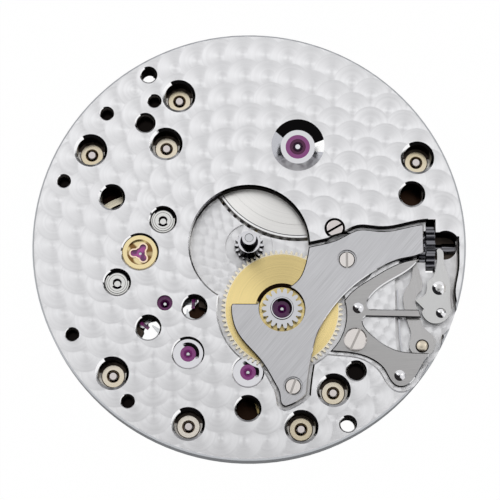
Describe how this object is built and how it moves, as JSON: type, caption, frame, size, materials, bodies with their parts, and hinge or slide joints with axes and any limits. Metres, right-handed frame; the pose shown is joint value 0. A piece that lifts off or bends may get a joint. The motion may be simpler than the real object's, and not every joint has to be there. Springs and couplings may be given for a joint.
{
  "type": "mechanical watch movement",
  "caption": "Round hand-wound watch movement with a perlage main plate, brushed minute-train bridge, keyless works, going train, balance and winding wheels.",
  "frame": {"origin": "on the centre axis, in the plane of the bridges' outer faces that the movement rests on", "axes": "+Z out of the dial side along the centre axis, +X to the winding stem at 3 o'clock, +Y to 12 o'clock"},
  "size_m": [0.03, 0.03, 0.0057],
  "materials": {
    "rhodium_plate": "rhodium-plated brass, circular-grained",
    "brushed_steel": "straight-brushed steel",
    "keyless_steel": "bead-blasted and lapped steel",
    "polished_steel": "polished hardened steel",
    "screw_steel": "nickel-plated steel",
    "bush_nickel": "nickel-plated brass",
    "gilt_brass": "gilt brass, turned",
    "barrel_steel": "turned nickel silver",
    "winding_steel": "circular-brushed steel",
    "gold_block": "gilt, turned",
    "jewel_setting": "polished, rhodium-plated",
    "ruby": "polished synthetic ruby"
  },
  "bodies": {
    "plate": {"main_plate": "rhodium_plate", "barrel_bridge": "rhodium_plate", "train_bridge": "rhodium_plate", "balance_bridge": "rhodium_plate", "pallet_bridge": "rhodium_plate", "minute_train_bridge": "brushed_steel", "setting_lever_jumper": "brushed_steel", "yoke_spring": "keyless_steel", "click_spring": "keyless_steel", "ring_posts": "polished_steel", "hairspring": "polished_steel", "hairspring_stud": "polished_steel", "bridge_screws": "screw_steel", "minute_bridge_screws": "screw_steel", "jumper_screw": "screw_steel", "keyless_pins": "screw_steel", "pallet_bridge_screws": "screw_steel", "crown_wheel_screw": "screw_steel", "barrel_jewel_ring": "screw_steel", "third_wheel_chaton": "screw_steel", "bridge_bushes": "bush_nickel", "lower_shock_block": "gold_block", "upper_shock_block": "gold_block", "lower_shock_spring": "gold_block", "jewel_settings": "jewel_setting", "plate_jewels": "ruby", "bridge_jewels": "ruby", "barrel_jewel": "ruby", "shock_jewels": "ruby"},
    "barrel": {"barrel_drum": "barrel_steel", "barrel_cover": "barrel_steel", "mainspring": "polished_steel"},
    "centre": {"centre_wheel": "gilt_brass", "centre_arbor": "polished_steel"},
    "third": {"third_wheel": "gilt_brass", "third_pinion": "polished_steel"},
    "fourth": {"fourth_wheel": "gilt_brass", "fourth_pinion": "polished_steel"},
    "escape": {"escape_wheel": "winding_steel", "escape_pinion": "polished_steel"},
    "pallets": {"pallet_fork": "polished_steel", "pallet_stones": "ruby"},
    "balance": {"balance_wheel": "gold_block", "timing_screws": "gilt_brass", "balance_staff": "polished_steel", "roller": "gold_block"},
    "cannon": {"cannon_pinion": "polished_steel"},
    "minute": {"minute_wheel": "gilt_brass", "minute_pinion": "polished_steel"},
    "setting": {"setting_wheel": "gilt_brass"},
    "winding_arbor": {"barrel_arbor": "polished_steel", "ratchet_wheel": "winding_steel", "ratchet_screw": "screw_steel"},
    "crown_gear": {"crown_wheel": "winding_steel"},
    "winding_gear": {"winding_pinion": "polished_steel"},
    "stem": {"winding_stem": "polished_steel"},
    "clutch": {"sliding_pinion": "polished_steel"},
    "lever": {"setting_lever": "keyless_steel"},
    "yoke_lever": {"yoke": "keyless_steel"},
    "click_lever": {"click": "keyless_steel"}
  },
  "joints": [
    {"name": "fourth_wheel_turn", "type": "hinge", "parent": "plate", "child": "fourth", "pos_m": [-0.00008, -0.00887, 0.0034], "axis": [0, 0, 1], "continuous": true},
    {"name": "barrel_turn", "type": "hinge", "parent": "plate", "child": "barrel", "pos_m": [0.0034, 0.00705, 0.0034], "axis": [0, 0, 1], "continuous": true},
    {"name": "centre_wheel_turn", "type": "hinge", "parent": "plate", "child": "centre", "pos_m": [0, 0, 0.0034], "axis": [0, 0, 1], "continuous": true},
    {"name": "third_wheel_turn", "type": "hinge", "parent": "plate", "child": "third", "pos_m": [0.00227, -0.00445, 0.0034], "axis": [0, 0, 1], "continuous": true},
    {"name": "escape_wheel_turn", "type": "hinge", "parent": "plate", "child": "escape", "pos_m": [-0.0042, -0.00759, 0.0034], "axis": [0, 0, 1], "continuous": true},
    {"name": "balance_swing", "type": "hinge", "parent": "plate", "child": "balance", "pos_m": [-0.00756, -0.00053, 0.0034], "axis": [0, 0, 1], "range_deg": [-270, 270], "stiffness_Nm_per_rad": 0.00000013},
    {"name": "pallet_fork_swing", "type": "hinge", "parent": "plate", "child": "pallets", "pos_m": [-0.00581, -0.00411, 0.0034], "axis": [0, 0, 1], "range_deg": [-5.3, 5.3]},
    {"name": "minute_wheel_turn", "type": "hinge", "parent": "plate", "child": "minute", "pos_m": [0.00227, -0.00445, 0.0034], "axis": [0, 0, 1], "continuous": true},
    {"name": "cannon_pinion_turn", "type": "hinge", "parent": "plate", "child": "cannon", "pos_m": [0, 0, 0.0034], "axis": [0, 0, 1], "continuous": true},
    {"name": "setting_wheel_turn", "type": "hinge", "parent": "plate", "child": "setting", "pos_m": [0.00677, -0.00102, 0.0034], "axis": [0, 0, 1], "continuous": true},
    {"name": "ratchet_turn", "type": "hinge", "parent": "plate", "child": "winding_arbor", "pos_m": [0.0034, 0.00705, 0.0034], "axis": [0, 0, 1], "continuous": true},
    {"name": "crown_wheel_turn", "type": "hinge", "parent": "plate", "child": "crown_gear", "pos_m": [0.00901, 0, 0.0034], "axis": [0, 0, 1], "continuous": true},
    {"name": "winding_pinion_turn", "type": "hinge", "parent": "plate", "child": "winding_gear", "pos_m": [0.0126, 0, 0.0017], "axis": [1, 0, 0], "continuous": true},
    {"name": "stem_pull", "type": "slide", "parent": "winding_gear", "child": "stem", "axis": [1, 0, 0], "range_m": [0, 0.0006]},
    {"name": "sliding_pinion_slide", "type": "slide", "parent": "winding_gear", "child": "clutch", "axis": [1, 0, 0], "range_m": [-0.00043, 0]},
    {"name": "setting_lever_swing", "type": "hinge", "parent": "plate", "child": "lever", "pos_m": [0.01314, -0.00297, 0.0034], "axis": [0, 0, 1], "range_deg": [-13.6, 0]},
    {"name": "yoke_swing", "type": "hinge", "parent": "plate", "child": "yoke_lever", "pos_m": [0.01194, -0.00698, 0.0034], "axis": [0, 0, 1], "range_deg": [0, 3.9]},
    {"name": "click_tilt", "type": "hinge", "parent": "plate", "child": "click_lever", "pos_m": [-0.00219, 0.01174, 0.0034], "axis": [0, 0, 1], "range_deg": [-3, 8], "stiffness_Nm_per_rad": 0.0000002}
  ],
  "couplings": [
    {"joint": "barrel_turn", "follows": "fourth_wheel_turn", "ratio": -0.0030303},
    {"joint": "centre_wheel_turn", "follows": "fourth_wheel_turn", "ratio": 0.016667},
    {"joint": "third_wheel_turn", "follows": "fourth_wheel_turn", "ratio": -0.13333},
    {"joint": "escape_wheel_turn", "follows": "fourth_wheel_turn", "ratio": -10},
    {"joint": "pallet_fork_swing", "follows": "balance_swing", "ratio": -0.019259},
    {"joint": "cannon_pinion_turn", "follows": "minute_wheel_turn", "ratio": -4.5},
    {"joint": "setting_wheel_turn", "follows": "minute_wheel_turn", "ratio": -2.4},
    {"joint": "crown_wheel_turn", "follows": "ratchet_turn", "ratio": -1.6},
    {"joint": "winding_pinion_turn", "follows": "ratchet_turn", "ratio": -4},
    {"joint": "sliding_pinion_slide", "follows": "stem_pull", "ratio": -0.7},
    {"joint": "setting_lever_swing", "follows": "stem_pull", "rad_per_m": -391.67},
    {"joint": "yoke_swing", "follows": "stem_pull", "rad_per_m": 109.33}
  ]
}
